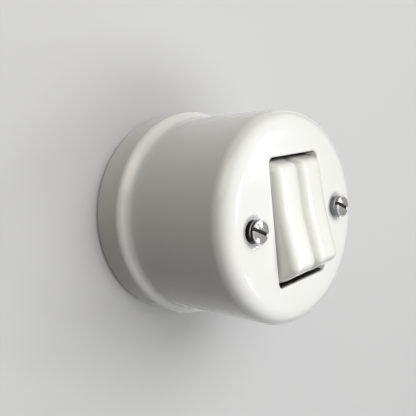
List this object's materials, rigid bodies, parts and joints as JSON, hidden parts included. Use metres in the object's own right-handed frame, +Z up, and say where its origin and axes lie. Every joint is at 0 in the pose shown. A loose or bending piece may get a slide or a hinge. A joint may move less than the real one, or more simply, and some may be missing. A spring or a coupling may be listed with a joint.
{
  "type": "porcelain double rocker switch",
  "caption": "Round surface-mounted porcelain wall switch with a beaded rim, a pair of rocker levers in a rectangular window and slotted screws beside it.",
  "frame": {"origin": "centre of the round cable entry in the base's back face, on the wall's plane", "axes": "+Y into the wall, -Y to the room, +X to the right as seen from the room, +Z up"},
  "size_m": [0.066, 0.0556, 0.066],
  "materials": {
    "porcelain": "gloss glaze",
    "porcelain_base": "satin",
    "rocker": "gloss",
    "housing": "satin",
    "chrome_screw": "polished",
    "steel": "satin",
    "brass": "satin",
    "contact_silver": "satin",
    "plunger": "satin"
  },
  "bodies": {
    "switch_body": {"base": "porcelain_base", "cover": "porcelain", "cover_screw_left": "chrome_screw", "cover_screw_right": "chrome_screw", "pillar_left": "brass", "pillar_right": "brass", "pillar_screw_left": "steel", "pillar_screw_right": "steel", "mechanism_housing": "housing", "housing_screw_upper": "steel", "housing_screw_lower": "steel", "rocker_axle": "steel", "common_terminal": "brass", "output_terminal_left": "brass", "output_terminal_right": "brass", "fixed_tip_left": "contact_silver", "fixed_tip_right": "contact_silver", "terminal_screw_common": "steel", "terminal_screw_left": "steel", "terminal_screw_right": "steel"},
    "left_rocker": {"rocker_left": "rocker", "spring_left": "steel"},
    "left_plunger": {"plunger_left": "plunger"},
    "left_see_saw": {"see_saw_left": "brass", "moving_tip_left": "contact_silver"},
    "right_rocker": {"rocker_right": "rocker", "spring_right": "steel"},
    "right_plunger": {"plunger_right": "plunger"},
    "right_see_saw": {"see_saw_right": "brass", "moving_tip_right": "contact_silver"}
  },
  "joints": [
    {"name": "rocker_left_tilt", "type": "hinge", "parent": "switch_body", "child": "left_rocker", "pos_m": [-0.00545, -0.0437, 0], "axis": [1, 0, 0], "range_deg": [0, 16.2]},
    {"name": "see_saw_left_rock", "type": "hinge", "parent": "switch_body", "child": "left_see_saw", "pos_m": [-0.00545, -0.02855, 0], "axis": [1, 0, 0], "range_deg": [-16.2, 0]},
    {"name": "plunger_left_slide", "type": "slide", "parent": "left_rocker", "child": "left_plunger", "axis": [0, -0.99, 0.1409], "range_m": [0, 0.0008], "stiffness_N_per_m": 200, "springref_m": -0.003, "deforming": ["spring_left"]},
    {"name": "rocker_right_tilt", "type": "hinge", "parent": "switch_body", "child": "right_rocker", "pos_m": [0.00545, -0.0437, 0], "axis": [1, 0, 0], "range_deg": [0, 16.2]},
    {"name": "see_saw_right_rock", "type": "hinge", "parent": "switch_body", "child": "right_see_saw", "pos_m": [0.00545, -0.02855, 0], "axis": [1, 0, 0], "range_deg": [-16.2, 0]},
    {"name": "plunger_right_slide", "type": "slide", "parent": "right_rocker", "child": "right_plunger", "axis": [0, -0.99, 0.1409], "range_m": [0, 0.0008], "stiffness_N_per_m": 200, "springref_m": -0.003, "deforming": ["spring_right"]}
  ],
  "couplings": [
    {"joint": "see_saw_left_rock", "follows": "rocker_left_tilt", "ratio": -1},
    {"joint": "see_saw_right_rock", "follows": "rocker_right_tilt", "ratio": -1}
  ]
}
